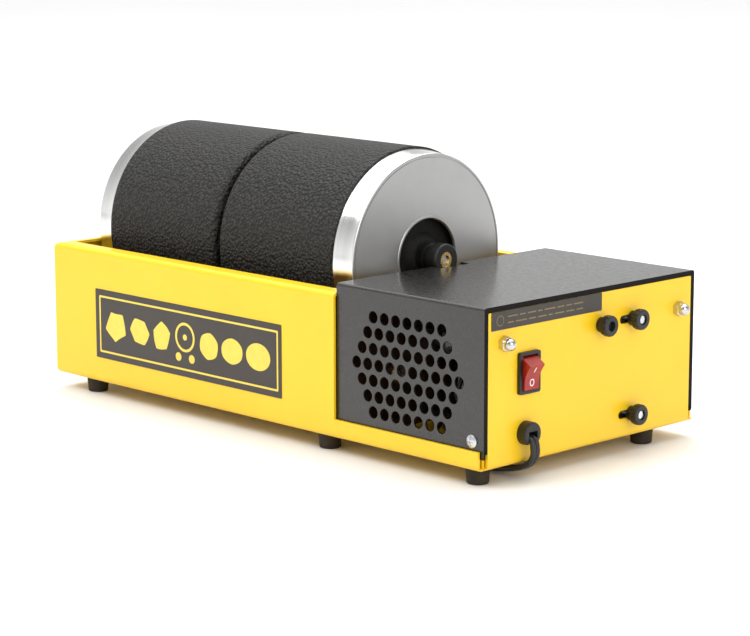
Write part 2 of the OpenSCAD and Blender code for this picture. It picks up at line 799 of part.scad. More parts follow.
module cap(side) color(alloy) barrel_at(side) {
    skirt_in = lid_r - 0.8;
    round_r = 0.9;
    lip = lid_hole_r + 1.6;
    turned(concat(
        [[skirt_in + lid_flare - 0.2, rubber_l + 0.2], [lid_r + lid_flare, rubber_l + 0.2]],
        arc(lid_r - round_r, barrel_l - round_r, round_r, 0, 90, 4),
        [[lid_r - 1.5, barrel_l], [lid_r - 1.6, barrel_l - 0.35], [lid_r - 2.1, barrel_l - 0.35],
         [lid_r - 2.2, barrel_l], [lip + 0.4, barrel_l], [lip, barrel_l + 0.3],
         [lip - 0.9, barrel_l + 0.3], [lid_hole_r, barrel_l - 0.4],
         [lid_hole_r, cap_under], [skirt_in, cap_under]]
    ));
}

module stud(side) color(steel) barrel_at(side) {
    rod(stud_r, rim_x - 7.5, barrel_l + knob_out - 1.6);
    // Clamping plate under the inner lid
    rod(15, rim_x - 7.4, rim_x - 5.4);
}

module washer(side) color(steel) barrel_at(side) {
    tube(8, stud_r + 0.3, cap_under + 0.3, cap_under + 1.5);
}

module knob(side) color(plastic) barrel_at(side) {
    x0 = cap_under + 1.8;
    end = barrel_l + knob_out;
    turned(concat(
        [[4.4, x0], [7.3, x0], [7.9, x0 + 0.6], [7.9, x0 + 2.4], [6.3, x0 + 2.9], [6.3, x0 + 4.2],
         [7.7, x0 + 4.7], [7.7, x0 + 5.7], [8.75, x0 + 6.6]],
        arc(7.75, end - 1, 1, 0, 90, 4),
        [[4.4, end]]
    ));
}

module insert(side) color(brass) barrel_at(side) {
    tube(4.4 - eps, stud_r + run_gap, cap_under + 1.8, barrel_l + knob_out - 0.3);
}

module left_shell() shell(-1);
module left_inner_lid() inner_lid(-1);
module left_cap() cap(-1);
module left_stud() stud(-1);
module left_washer() washer(-1);
module left_knob() knob(-1);
module left_insert() insert(-1);
module right_shell() shell(1);
module right_inner_lid() inner_lid(1);
module right_cap() cap(1);
module right_stud() stud(1);
module right_washer() washer(1);
module right_knob() knob(1);
module right_insert() insert(1);

// ---------- mains lead ----------

module cord_run() color(plastic) lead(route, cord_w, cord_t);

module cord_tail() color(plastic) lead(tail, cord_w, cord_t);

// Outer shape of the coil: its turns lie side by side and in two layers
module cord_coil() color(plastic)
    translate([coil_at[0], coil_at[1], coil_low]) rotate_extrude()
        translate([coil_d / 2, coil_high / 2]) round_rect(coil_wide, coil_high, 1.4);

module cord_tie() color([0.20, 0.20, 0.22])
    translate([coil_at[0], coil_at[1], 0]) rotate([0, 0, 160]) translate([coil_d / 2, 4, 6.2])
        rotate([90, 0, 0]) linear_extrude(8) difference() {
            round_rect(coil_wide + 1.4, coil_high + 0.9, 1.6);
            round_rect(coil_wide + 0.4, coil_high - 0.1, 1.3);
        }

module plug_body() color(plastic) translate(plug_at) {
    // Moulded neck, then a tapered grip
    hull() {
        rotate([0, 90, 0]) scale([0.75, 1, 1]) cylinder(r = 4, h = 1, $fn = 24);
        translate([12, 0, 0]) rotate([0, 90, 0]) scale([0.8, 1, 1]) cylinder(r = 5.5, h = 1, $fn = 24);
    }
    hull()
        for (x = [12, 34], s = [-1, 1])
            translate([x, s * (x > 20 ? 9.5 : 5), 0]) sphere(r = x > 20 ? 6.5 : 5, $fn = 20);
}

module plug_blades() color(brass) translate(plug_at) {
    for (s = [-1, 1])
        translate([39, s * 6.35, 0]) difference() {
            translate([-1, -0.75, -3.15]) cube([18, 1.5, 6.3]);
            translate([13, 0, 0]) rotate([90, 0, 0]) cylinder(r = 1.6, h = 4, center = true);
        }
}

base_tray();
bulkhead();
motor_cover();
rubber_feet();
foot_screws();
cover_screws();
cap_nuts();
nameplate();
end_label();
shaft_bushes();
drive_belt();
switch_body();
switch_terminals();
switch_rocker();
strain_relief();
lead_wires();
wire_nuts();
drive_shaft();
drive_sleeve();
drive_pulley();
drive_collars();
idler_shaft();
idler_sleeve();
idler_collars();
motor_plate();
motor_core();
shading_rings();
motor_coil();
motor_brackets();
motor_screws();
motor_spacers();
adjust_studs();
motor_rotor();
motor_shaft();
motor_pulley();
cooling_fan();
adjust_knob_1();
adjust_knob_2();
adjust_knob_3();
left_shell();
left_inner_lid();
left_cap();
left_stud();
left_washer();
left_knob();
left_insert();
right_shell();
right_inner_lid();
right_cap();
right_stud();
right_washer();
right_knob();
right_insert();
cord_run();
cord_coil();
cord_tail();
cord_tie();
plug_body();
plug_blades();
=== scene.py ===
import math

import bmesh
import bpy
from mathutils import Matrix, Vector


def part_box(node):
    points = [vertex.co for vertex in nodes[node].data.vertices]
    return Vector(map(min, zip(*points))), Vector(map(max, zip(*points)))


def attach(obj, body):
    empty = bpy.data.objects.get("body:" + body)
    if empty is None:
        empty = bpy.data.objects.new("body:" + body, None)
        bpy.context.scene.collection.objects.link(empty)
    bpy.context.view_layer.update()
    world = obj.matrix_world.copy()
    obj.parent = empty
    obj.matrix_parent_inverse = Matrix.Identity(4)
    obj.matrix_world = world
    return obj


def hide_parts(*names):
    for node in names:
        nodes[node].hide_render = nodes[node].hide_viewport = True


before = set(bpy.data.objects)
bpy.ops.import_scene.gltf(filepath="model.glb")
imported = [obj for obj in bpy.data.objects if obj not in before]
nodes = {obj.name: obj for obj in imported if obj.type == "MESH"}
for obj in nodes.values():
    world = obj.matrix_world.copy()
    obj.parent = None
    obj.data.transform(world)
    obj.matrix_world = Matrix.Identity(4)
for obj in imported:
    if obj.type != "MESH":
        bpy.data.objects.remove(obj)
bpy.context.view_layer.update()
scene = bpy.context.scene
MM = 0.001


def mm(*p):
    return Vector(p) * MM


# ---------------------------------------------------------------- camera

# Fitted to the photograph's perspective; the lens is for a 36 mm sensor
AZIMUTH, ELEVATION, ROLL = math.radians(45.936), math.radians(10.522), math.radians(-0.12)
TARGET = mm(15.4, -9.9, 59.0)
DISTANCE = 1.3802
SENSOR, LENS = 36, 121.67
SHIFT = (0.0084, -0.0090)

back = Vector((
    math.sin(AZIMUTH) * math.cos(ELEVATION),
    -math.cos(AZIMUTH) * math.cos(ELEVATION),
    math.sin(ELEVATION),
))
camera = bpy.data.objects.new("camera", bpy.data.cameras.new("camera"))
scene.collection.objects.link(camera)
camera.data.sensor_width = SENSOR
camera.data.lens = LENS
camera.data.shift_x, camera.data.shift_y = SHIFT
camera.data.clip_start = 0.05
camera.matrix_world = (
    Matrix.Translation(TARGET + back * DISTANCE)
    @ back.to_track_quat("Z", "Y").to_matrix().to_4x4()
    @ Matrix.Rotation(ROLL, 4, "Z")
)
scene.camera = camera
scene.view_settings.view_transform = "Standard"


# ---------------------------------------------------------------- materials

class Finish:
    """A material on the Principled shader, whose helpers add the nodes that vary it."""

    def __init__(self, name, colour, roughness, metallic=0.0, **fixed):
        self.mat = bpy.data.materials.new(name)
        self.mat.use_nodes = True
        self.tree = self.mat.node_tree
        self.shader = self.tree.nodes["Principled BSDF"]
        self.colour = colour
        self.shader.inputs["Base Color"].default_value = (*colour, 1)
        self.shader.inputs["Roughness"].default_value = roughness
        self.shader.inputs["Metallic"].default_value = metallic
        self.mat.diffuse_color = (*colour, 1)
        for socket, value in fixed.items():
            self.shader.inputs[socket.replace("_", " ")].default_value = value
        self.place = self.node("TexCoord").outputs["Object"]

    def feed(self, socket, value):
        """Links a node's output to a socket, or sets the socket to a number."""
        if hasattr(value, "is_linked"):
            self.tree.links.new(value, socket)
        else:
            socket.default_value = value

    def node(self, kind, **inputs):
        """A new node, with its inputs by name and _ for each blank."""
        n = self.tree.nodes.new("ShaderNode" + kind)
        for key, value in inputs.items():
            self.feed(n.inputs[key.replace("_", " ")], value)
        return n

    def math(self, operation, a, b=0.0):
        """The result of a sum on one or two values."""
        n = self.tree.nodes.new("ShaderNodeMath")
        n.operation = operation
        self.feed(n.inputs[0], a)
        self.feed(n.inputs[1], b)
        return n.outputs[0]

    def axis(self, name):
        """The place along one axis, in metres."""
        return self.node("SeparateXYZ", Vector=self.place).outputs[name]

    def stretched(self, x, y, z):
        """The place, scaled along each axis, for marks that run one way."""
        n = self.node("Mapping", Vector=self.place)
        n.inputs["Scale"].default_value = (x, y, z)
        return n.outputs["Vector"]

    def noise(self, size, detail=3.0, rough=0.55, at=None):
        """Noise whose features are about size millimetres."""
        n = self.node("TexNoise", Vector=at or self.place, Scale=1000.0 / size, Detail=detail,
                      Roughness=rough)
        return n.outputs["Fac"]

    def pebbles(self, size, smooth):
        """Rounded cells of about size millimetres: the distance from the nearest cell's middle."""
        n = self.node("TexVoronoi", Vector=self.place, Scale=1000.0 / size)
        n.feature = "SMOOTH_F1"
        n.inputs["Smoothness"].default_value = smooth
        return n.outputs["Distance"]

    def spread(self, value, low, high, from_low=0.3, from_high=0.7):
        """Maps a value from its own range to low and high, and stops there."""
        n = self.node("MapRange", Value=value, From_Min=from_low, From_Max=from_high, To_Min=low,
                      To_Max=high)
        return n.outputs["Result"]

    def tint(self, value, dark, light, low=0.3, high=0.7):
        """Colours the surface from dark to light by a value."""
        ramp = self.node("ValToRGB", Fac=value)
        ramp.color_ramp.elements[0].position = low
        ramp.color_ramp.elements[0].color = (*dark, 1)
        ramp.color_ramp.elements[1].position = high
        ramp.color_ramp.elements[1].color = (*light, 1)
        self.feed(self.shader.inputs["Base Color"], ramp.outputs["Color"])

    def shade(self, value, low, high):
        """Varies the base colour's brightness by a value."""
        dark = [c * low for c in self.colour]
        light = [min(1.0, c * high) for c in self.colour]
        self.tint(value, dark, light)

    def rough(self, value, low, high):
        """Varies the roughness from low to high by a value."""
        self.feed(self.shader.inputs["Roughness"], self.spread(value, low, high))

    def bump(self, height, depth):
        """Adds relief, depth in millimetres."""
        n = self.node("Bump", Height=height, Distance=depth * MM)
        n.inputs["Strength"].default_value = 1.0
        self.feed(self.shader.inputs["Normal"], n.outputs["Normal"])


YELLOW = (0.90, 0.565, 0.011)
# Where the bulkhead's yellow gives way to painted shade on its motor-bay face, along X
BULKHEAD_TURNS_DARK = (0.0634, 0.0636)


def yellow_paint():
    f = Finish("yellow_powder_coat", YELLOW, 0.34, Specular_IOR_Level=0.4,
               Coat_Weight=0.2, Coat_Roughness=0.2)
    f.shade(f.noise(60, 2), 0.97, 1.03)
    f.rough(f.noise(3, 4), 0.32, 0.44)
    f.bump(f.noise(1.6, 2), 0.035)
    return f.mat


def bay_painted_shade():
    """The bulkhead: yellow towards the barrels, with painted shade darkening its face in the motor
    bay.
    """
    f = Finish("bulkhead_paint_and_painted_shade", YELLOW, 0.4, Specular_IOR_Level=0.35)
    inside = f.spread(f.axis("X"), 0.0, 1.0, *BULKHEAD_TURNS_DARK)
    # The dark colour on the motor-bay side is painted shade
    f.tint(inside, YELLOW, (0.045, 0.016, 0.004), 0.4, 0.6)
    f.rough(f.noise(3, 4), 0.36, 0.5)
    f.bump(f.noise(1.6, 2), 0.035)
    return f.mat


def black_coat():
    f = Finish("black_texture_coat", (0.010, 0.0085, 0.007), 0.3, Specular_IOR_Level=0.5,
               Coat_Weight=0.42, Coat_Roughness=0.14)
    f.shade(f.noise(0.9, 3), 0.8, 1.3)
    f.rough(f.noise(3, 4), 0.24, 0.36)
    f.bump(f.noise(1.1, 3, 0.6), 0.0035)
    return f.mat


def cut_edge():
    """The cover's cut front edge, where the coat is thin and dull."""
    f = Finish("dull_cut_edge", (0.006, 0.0045, 0.004), 0.6, Specular_IOR_Level=0.12)
    f.shade(f.noise(1.5, 3), 0.8, 1.3)
    f.rough(f.noise(1.2, 3), 0.5, 0.7)
    f.bump(f.noise(0.8, 2), 0.004)
    return f.mat


def barrel_rubber():
    """The shells: pebbled rubber, with a painted highlight on its lumps and painted shade in the
    pits between them.
    """
    f = Finish("pebbled_rubber", (0.009, 0.008, 0.006), 0.42, Specular_IOR_Level=0.42)
    grain = f.pebbles(1.7, 0.2)
    # worn is only an unevenness in the lumps' height, which drives the painted highlight, the
    # roughness and the relief
    worn = f.noise(1.2, 3)
    lumps = f.math("ADD", f.math("MULTIPLY", grain, -1.0), f.math("MULTIPLY", worn, 0.6))
    height = f.spread(lumps, 0.0, 1.0, -0.5, 0.2)
    # Lighter on the lumps and darker in the pits: a painted highlight and painted shade
    f.tint(height, (0.001, 0.001, 0.001), (0.030, 0.027, 0.021), 0.35, 0.9)
    f.rough(lumps, 0.58, 0.3)
    f.bump(lumps, 1.15)
    return f.mat


def soft_rubber():
    f = Finish("matt_rubber", (0.024, 0.016, 0.008), 0.66, Specular_IOR_Level=0.35)
    f.shade(f.noise(4, 4), 0.75, 1.4)
    f.rough(f.noise(2, 3), 0.62, 0.82)
    f.bump(f.noise(0.6, 3), 0.03)
    return f.mat


# The height of the barrels' axis, and the radii where a lid's face gives way to its skirt
BARREL_AXIS_Z = 0.0918
SKIRT_RADIUS = (0.0550, 0.0556)


def alloy():
    """Aluminium lids: a satin face, and a skirt with turning marks round it whose brighter colour
    is a painted highlight.
    """
    f = Finish("spun_aluminium", (0.45, 0.45, 0.445), 0.38, 1.0)
    up = f.math("SUBTRACT", f.axis("Z"), BARREL_AXIS_Z)
    side = f.axis("Y")
    squares = f.math("ADD", f.math("MULTIPLY", up, up), f.math("MULTIPLY", side, side))
    radius = f.math("SQRT", squares)
    skirt = f.spread(radius, 0.0, 1.0, *SKIRT_RADIUS)
    face = f.math("SUBTRACT", 1.0, skirt)
    turned = f.node("CombineXYZ", X=radius, Y=f.axis("X"))
    lines = f.noise(2.4, 2, 0.6, turned.outputs["Vector"])
    cloud = f.noise(30, 3)
    satin = f.spread(cloud, 0.42, 0.49)
    # The skirt's lighter tone is a painted highlight; its streaks follow the turning marks
    bright = f.spread(lines, 0.72, 0.90)
    tone = f.math("ADD", f.math("MULTIPLY", satin, face), f.math("MULTIPLY", bright, skirt))
    f.tint(tone, (0, 0, 0), (1, 0.998, 0.99), 0, 1)
    dull = f.spread(cloud, 0.36, 0.44)
    slick = f.spread(lines, 0.14, 0.26)
    mixed = f.math("ADD", f.math("MULTIPLY", dull, face), f.math("MULTIPLY", slick, skirt))
    f.feed(f.shader.inputs["Roughness"], mixed)
    f.bump(lines, 0.0016)
    return f.mat


def metal(name, colour, low, high, grain=1.2, depth=0.01):
    f = Finish(name, colour, (low + high) / 2, 1.0)
    f.shade(f.noise(5, 3), 0.9, 1.06)
    f.rough(f.noise(grain, 4), low, high)
    f.bump(f.noise(grain / 2, 2), depth)
    return f.mat


def turned_steel():
    """Drawn shafting, with fine marks that run round it."""
    f = Finish("ground_steel", (0.66, 0.66, 0.67), 0.28, 1.0)
    marks = f.noise(1.0, 3, 0.6, f.stretched(6, 0.4, 0.4))
    f.shade(marks, 0.88, 1.05)
    f.rough(marks, 0.2, 0.38)
    f.bump(marks, 0.006)
    return f.mat


def laminations():
    f = Finish("lamination_steel", (0.30, 0.30, 0.31), 0.42, 0.9)
    wave = f.node("TexWave", Vector=f.place, Scale=300.0, Distortion=0.4, Detail=1.0)
    wave.bands_direction = "X"
    f.tint(wave.outputs["Fac"], (0.16, 0.15, 0.15), (0.42, 0.42, 0.43), 0.2, 0.7)
    f.rough(f.noise(3, 3), 0.36, 0.55)
    f.bump(wave.outputs["Fac"], 0.08)
    return f.mat


def windings():
    f = Finish("enamelled_copper", (0.58, 0.20, 0.07), 0.3, 0.7)
    wave = f.node("TexWave", Vector=f.place, Scale=520.0, Distortion=0.8, Detail=2.0)
    wave.bands_direction = "Z"
    f.tint(wave.outputs["Fac"], (0.30, 0.08, 0.02), (0.72, 0.28, 0.10), 0.1, 0.8)
    f.rough(f.noise(2, 3), 0.25, 0.4)
    f.bump(wave.outputs["Fac"], 0.12)
    return f.mat


def black_plastic():
    f = Finish("moulded_black", (0.009, 0.0085, 0.008), 0.38, Specular_IOR_Level=0.45)
    f.shade(f.noise(6, 3), 0.8, 1.3)
    f.rough(f.noise(1.5, 3), 0.3, 0.46)
    f.bump(f.noise(0.8, 2), 0.006)
    return f.mat


def lid_rubber():
    """The inner lids: dull moulded rubber, darker than the barrels."""
    f = Finish("inner_lid_rubber", (0.006, 0.0055, 0.005), 0.7, Specular_IOR_Level=0.25)
    f.shade(f.noise(7, 3), 0.7, 1.5)
    f.rough(f.noise(2, 3), 0.6, 0.8)
    f.bump(f.noise(0.9, 2), 0.01)
    return f.mat


def switch_red():
    f = Finish("rocker_red", (0.34, 0.011, 0.005), 0.3, Specular_IOR_Level=0.4, Coat_Weight=0.12,
               Coat_Roughness=0.08)
    f.shade(f.noise(5, 2), 0.9, 1.1)
    f.rough(f.noise(2, 3), 0.16, 0.26)
    return f.mat


def label_film():
    f = Finish("label_film", (0.040, 0.032, 0.025), 0.4, Specular_IOR_Level=0.45)
    f.shade(f.noise(25, 3), 0.92, 1.08)
    f.rough(f.noise(1.2, 3), 0.36, 0.48)
    f.bump(f.noise(0.8, 2), 0.006)
    return f.mat


def print_yellow():
    f = Finish("print_yellow", (0.86, 0.64, 0.09), 0.42, Specular_IOR_Level=0.4)
    f.shade(f.noise(3, 3), 0.95, 1.04)
    f.rough(f.noise(1, 3), 0.36, 0.5)
    return f.mat


def print_dim():
    f = Finish("print_dim", (0.22, 0.165, 0.07), 0.45, Specular_IOR_Level=0.4)
    f.shade(f.noise(2, 3), 0.85, 1.1)
    f.rough(f.noise(1, 3), 0.4, 0.52)
    return f.mat


def print_white():
    f = Finish("print_white", (0.86, 0.85, 0.83), 0.4)
    f.shade(f.noise(1, 3), 0.95, 1.05)
    f.rough(f.noise(1, 3), 0.34, 0.46)
    return f.mat


def cord_jacket():
    f = Finish("soft_pvc", (0.011, 0.0105, 0.010), 0.36, Specular_IOR_Level=0.5)
    f.shade(f.noise(8, 3), 0.85, 1.3)
    f.rough(f.noise(3, 3), 0.3, 0.42)
    f.bump(f.noise(1.2, 2), 0.008)
    return f.mat


def nut_orange():
    f = Finish("moulded_orange", (0.75, 0.16, 0.02), 0.45)
    f.shade(f.noise(4, 3), 0.9, 1.1)
    f.rough(f.noise(2, 3), 0.38, 0.52)
    f.bump(f.noise(0.6, 2), 0.01)
    return f.mat


def zinc_plate():
    """Galvanised sheet with its spangle."""
    f = Finish("galvanised_sheet", (0.20, 0.20, 0.20), 0.4, 1.0)
    n = f.node("TexVoronoi", Vector=f.place, Scale=110.0)
    spangle = f.node("SeparateColor", Color=n.outputs["Color"]).outputs[0]
    f.shade(spangle, 0.86, 1.08)
    f.rough(spangle, 0.34, 0.5)
    f.bump(f.noise(1.5, 3), 0.01)
    return f.mat


finish = {
    "yellow": yellow_paint(),
    "coat": black_coat(),
    "bay": bay_painted_shade(),
    "barrel": barrel_rubber(),
    "rubber": soft_rubber(),
    "alloy": alloy(),
    "cast": metal("cast_zinc", (0.62, 0.62, 0.61), 0.34, 0.5, 2.0, 0.03),
    "steel": metal("zinc_plated_steel", (0.66, 0.67, 0.68), 0.2, 0.36),
    "shaft": turned_steel(),
    "chrome": metal("polished_plating", (0.60, 0.59, 0.58), 0.04, 0.08, 6, 0.0001),
    "brass": metal("turned_brass", (0.78, 0.56, 0.22), 0.2, 0.34),
    "copper": metal("bare_copper", (0.76, 0.36, 0.20), 0.22, 0.38),
    "windings": windings(),
    "core": laminations(),
    "plastic": black_plastic(),
    "lid_rubber": lid_rubber(),
    "red": switch_red(),
    "film": label_film(),
    "yellow_ink": print_yellow(),
    "dim_ink": print_dim(),
    "white_ink": print_white(),
    "pvc": cord_jacket(),
    "orange": nut_orange(),
    "zinc": zinc_plate(),
}

# Which CAD nodes each finish is on
WEARS = {
    "yellow": ["base_tray"],
    "coat": ["motor_cover"],
    "bay": ["bulkhead"],
    "film": ["nameplate", "end_label"],
    "rubber": ["rubber_feet", "drive_sleeve", "idler_sleeve", "drive_belt"],
    "barrel": ["left_shell", "right_shell"],
    "alloy": ["left_cap", "right_cap"],
    "cast": ["motor_brackets", "motor_pulley"],
    "steel": ["foot_screws", "cover_screws", "motor_screws", "motor_spacers", "adjust_studs",
              "drive_collars", "idler_collars", "left_stud", "right_stud"],
    "shaft": ["drive_shaft", "idler_shaft", "motor_shaft", "motor_rotor"],
    "chrome": ["cap_nuts"],
    "brass": ["shaft_bushes", "switch_terminals", "left_insert", "right_insert", "plug_blades"],
    "copper": ["shading_rings"],
    "windings": ["motor_coil"],
    "core": ["motor_core"],
    "zinc": ["motor_plate"],
    "lid_rubber": ["left_inner_lid", "right_inner_lid"],
    "plastic": ["switch_body", "strain_relief", "cooling_fan", "drive_pulley", "left_washer",
                "right_washer", "left_knob", "right_knob", "adjust_knob_1", "adjust_knob_2",
                "adjust_knob_3", "cord_tie"],
    "red": ["switch_rocker"],
    "pvc": ["lead_wires"],
    "orange": ["wire_nuts"],
}
for kind, names in WEARS.items():
    for name in names:
        mesh = nodes[name].data
        mesh.materials.clear()
        mesh.materials.append(finish[kind])
        mesh.polygons.foreach_set("material_index", [0] * len(mesh.polygons))

# The faces of the cover's front edge have a finish of their own
COVER_FRONT_X = 0.168
cover = nodes["motor_cover"]
cover.data.materials.append(cut_edge())
for face in cover.data.polygons:
    off_edge = abs((cover.matrix_world @ face.center).x - COVER_FRONT_X)
    if face.normal.x > 0.99 and off_edge < 0.05 * MM:
        face.material_index = 1


# ---------------------------------------------------------------- making pieces

# Edges that bend by more than this stay sharp, in degrees
PIECE_CREASE, CAD_CREASE = 40, 32


def piece(name, points, faces, kind, body, smooth=True):
    """A mesh piece from points in metres, which rides on a body.

    kind is its finish here.
    """
    mesh = bpy.data.meshes.new(name)
    mesh.from_pydata([tuple(p) for p in points], [], faces)
    bm = bmesh.new()
    bm.from_mesh(mesh)
    bmesh.ops.recalc_face_normals(bm, faces=bm.faces)
    bm.to_mesh(mesh)
    bm.free()
    if smooth:
        mesh.polygons.foreach_set("use_smooth", [True] * len(mesh.polygons))
        mesh.set_sharp_from_angle(angle=math.radians(PIECE_CREASE))
    mesh.materials.append(finish[kind])
    obj = bpy.data.objects.new(name, mesh)
    scene.collection.objects.link(obj)
    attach(obj, body)
    return obj


def circle(u, v, r, n=32, tall=1.0):
    """An outline of n points round (u, v), stretched by tall along v."""
    return [(u + r * math.cos(2 * math.pi * k / n), v + r * tall * math.sin(2 * math.pi * k / n))
            for k in range(n)]


def lofted(rings):
    """Points and faces of a closed skin over rings of equal length."""
    n = len(rings[0])
    points = [p for r in rings for p in r]
    faces = [
        (i * n + k, i * n + (k + 1) % n, (i + 1) * n + (k + 1) % n, (i + 1) * n + k)
        for i in range(len(rings) - 1)
        for k in range(n)
    ]
    faces += [tuple(reversed(range(n))), tuple(range(len(points) - n, len(points)))]
    return points, faces


# ---------------------------------------------------------------- the mains lead

# The same points as in part.scad, in metres, with the roll of the wide side in degrees
ROUTE = [
    (0.171, -0.0505, 0.022, 0), (0.174, -0.0505, 0.020, 0), (0.175, -0.0505, 0.016, 0),
    (0.1745, -0.0505, 0.0125, 0), (0.172, -0.0505, 0.009, 0), (0.168, -0.051, 0.0065, 0),
    (0.163, -0.0515, 0.005, 0), (0.156, -0.0515, 0.0035, 0), (0.148, -0.050, 0.0022, 0),
    (0.138, -0.046, 0.0017, 0), (0.126, -0.040, 0.0016, 0), (0.112, -0.031, 0.0016, 0),
    (0.098, -0.021, 0.0016, 0), (0.082, -0.008, 0.0016, 0), (0.066, 0.007, 0.0016, 0),
    (0.050, 0.022, 0.0016, 0), (0.034, 0.038, 0.0016, 0), (0.020, 0.054, 0.0018, 15),
    (0.007, 0.069, 0.0023, 35), (-0.006, 0.081, 0.0028, 60), (-0.018, 0.089, 0.0031, 80),
    (-0.030, 0.092, 0.0033, 90),
]
TAIL = [
    (-0.030, 0.164, 0.009, 90), (-0.020, 0.164, 0.0086, 90), (-0.010, 0.162, 0.0076, 80),
    (0.000, 0.158, 0.007, 50), (0.009, 0.153, 0.0068, 20), (0.018, 0.149, 0.0068, 0),
    (0.025, 0.147, 0.0068, 0),
]
# The coil: its middle, the radii and heights between which its turns run, in metres, and the
# angle it starts at, in degrees
COIL_AT = (-0.030, 0.128)
COIL_OUTER, COIL_INNER = 0.03595, 0.02605
COIL_LOW, COIL_HIGH = 0.0033, 0.009
COIL_START = -90
COIL_TURNS, STEPS_PER_TURN = 7.5, 36
# The section: two round cores side by side, joined at a waist
LOBE = 1.5 * MM
LOBE_AT = 1.36 * MM
WAIST = 0.5 * MM
STEPS_PER_SPAN = 5


def between(p, i, t):
    """A point on the smooth curve through p, at share t of the way from point i to the next."""
    a, b, c, d = (Vector(p[min(max(i + k, 0), len(p) - 1)]) for k in (-1, 0, 1, 2))
    return 0.5 * (2 * b + (c - a) * t + (2 * a - 5 * b + 4 * c - d) * t * t
                  + (3 * b - a - 3 * c + d) * t ** 3)


def smoothed(p, n):
    """The smooth curve through p, with n steps from each point to the next."""
    line = [between(p, i, k / n) for i in range(len(p) - 1) for k in range(n)]
    return line + [Vector(p[-1])]


def coil():
    """Seven and a half turns in two layers: inwards below, outwards above, on edge."""
    def at(t, stops):
        """The value at t between stops of (turn, value)."""
        for (t0, v0), (t1, v1) in zip(stops, stops[1:]):
            if t <= t1:
                return v0 + (v1 - v0) * (t - t0) / (t1 - t0)
        return stops[-1][1]

    radius = [(0, COIL_OUTER), (0.2, COIL_OUTER), (3.2, COIL_INNER), (3.45, COIL_INNER),
              (6.55, COIL_OUTER), (COIL_TURNS, COIL_OUTER)]
    height = [(0, COIL_LOW), (3.2, COIL_LOW), (3.45, COIL_HIGH), (COIL_TURNS, COIL_HIGH)]
    line = []
    for i in range(1, int(COIL_TURNS * STEPS_PER_TURN)):
        t = i / STEPS_PER_TURN
        a = math.radians(COIL_START - 360 * t)
        r = at(t, radius)
        line.append(Vector((COIL_AT[0] + r * math.cos(a), COIL_AT[1] + r * math.sin(a),
                            at(t, height), 90)))
    return line


def twin_lead():
    """The rings of the lead's skin, and its middle line."""
    line = smoothed(ROUTE, STEPS_PER_SPAN) + coil() + smoothed(TAIL, STEPS_PER_SPAN)
    path = [p.to_3d() for p in line]
    lobe = [math.radians(a) for a in range(-150, 151, 20)]
    outline = [(LOBE_AT + LOBE * math.cos(a), LOBE * math.sin(a)) for a in lobe]
    outline += [(0, WAIST)]
    outline += [(-LOBE_AT - LOBE * math.cos(a), -LOBE * math.sin(a)) for a in lobe]
    outline += [(0, -WAIST)]
    rings, wide = [], None
    for i, p in enumerate(line):
        ahead = (path[min(i + 1, len(path) - 1)] - path[max(i - 1, 0)]).normalized()
        # A level direction across the lead: from Y where it runs along X, else from its heading
        level = Vector((0, 1, 0)) - ahead.y * ahead
        if level.length < 0.5 or p[3] == 90:
            level = Vector((ahead.y, -ahead.x, 0))
        level.normalize()
        up = ahead.cross(level)
        roll = math.radians(p[3])
        w = level * math.cos(roll) + up * math.sin(roll)
        if wide is not None and w.dot(wide) < 0:
            w = -w
        wide = w
        n = ahead.cross(w)
        rings.append([path[i] + w * u + n * v for u, v in outline])
    return rings, path


rings, path = twin_lead()
points, faces = lofted(rings)
lead = piece("mains_lead", points, faces, "pvc", "base")
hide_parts("cord_run", "cord_coil", "cord_tail")


def plug():
    """Moulded two-pin plug: a ribbed neck that swells to a waisted grip, lying on its side."""
    neck = mm(24, 147, 6.8)
    squareness = 0.72
    # Along the plug, half its width and half its height
    profile = [
        (-1, 3.3, 2.3), (0, 3.9, 2.9), (1.2, 4.1, 3.1), (2.2, 3.5, 2.5), (3.4, 3.6, 2.6),
        (4.4, 4.5, 3.5), (5.6, 4.6, 3.6), (6.6, 3.9, 2.9), (7.8, 4.0, 3.0), (8.8, 5.0, 4.0),
        (10, 5.1, 4.1), (11, 4.5, 3.4), (12.2, 5.6, 4.0), (14, 7.6, 4.7), (17, 9.2, 5.2),
        (21, 10.4, 5.6), (25, 11.6, 5.7), (29, 13.4, 5.9), (32, 14.9, 6.2), (34, 15.6, 6.4),
        (37.5, 15.7, 6.5), (38.6, 15.5, 6.3), (39, 14.9, 5.8),
    ]
    sections = []
    for x, y, z in profile:
        section = []
        for c, s in circle(0, 0, 1, 40):
            section.append(neck + mm(x, y * math.copysign(abs(c) ** squareness, c),
                                     z * math.copysign(abs(s) ** squareness, s)))
        sections.append(section)
    points, faces = lofted(sections)
    return piece("plug_moulding", points, faces, "plastic", "base")


plug_moulding = plug()
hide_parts("plug_body")


# ---------------------------------------------------------------- printed marks

def printed(name, loops, place, kind, body, thick=0.06):
    """Flat raised print, with top and sides.

    Each loop is an outline of more than two points, or a pair of outlines of equal length, the
    second being the hole in the first, in millimetres. place(u, v, out) gives a point in metres.
    """
    points, faces = [], []
    for loop in loops:
        outer, hole = loop if len(loop) == 2 else (loop, [])
        n = len(outer)
        base = len(points)
        up = n + len(hole)
        for out in (0.0, thick):
            points += [place(u, v, out) for u, v in outer + hole]
        if not hole:
            faces.append([base + up + k for k in range(n)])
        for k in range(n):
            o0, o1 = base + k, base + (k + 1) % n
            outside = [o0, o1, o1 + up, o0 + up]
            if hole:
                i0, i1 = o0 + n, o1 + n
                top = [o0 + up, o1 + up, i1 + up, i0 + up]
                faces += [top, outside, [i0, i1, i1 + up, i0 + up]]
            else:
                faces.append(outside)
    return piece(name, points, faces, kind, body, smooth=False)


def ring(u, v, r, width, n=40, tall=1.0):
    """A ring, as an outline and the hole in it."""
    return [circle(u, v, r, n, tall), circle(u, v, r - width, n, tall)]


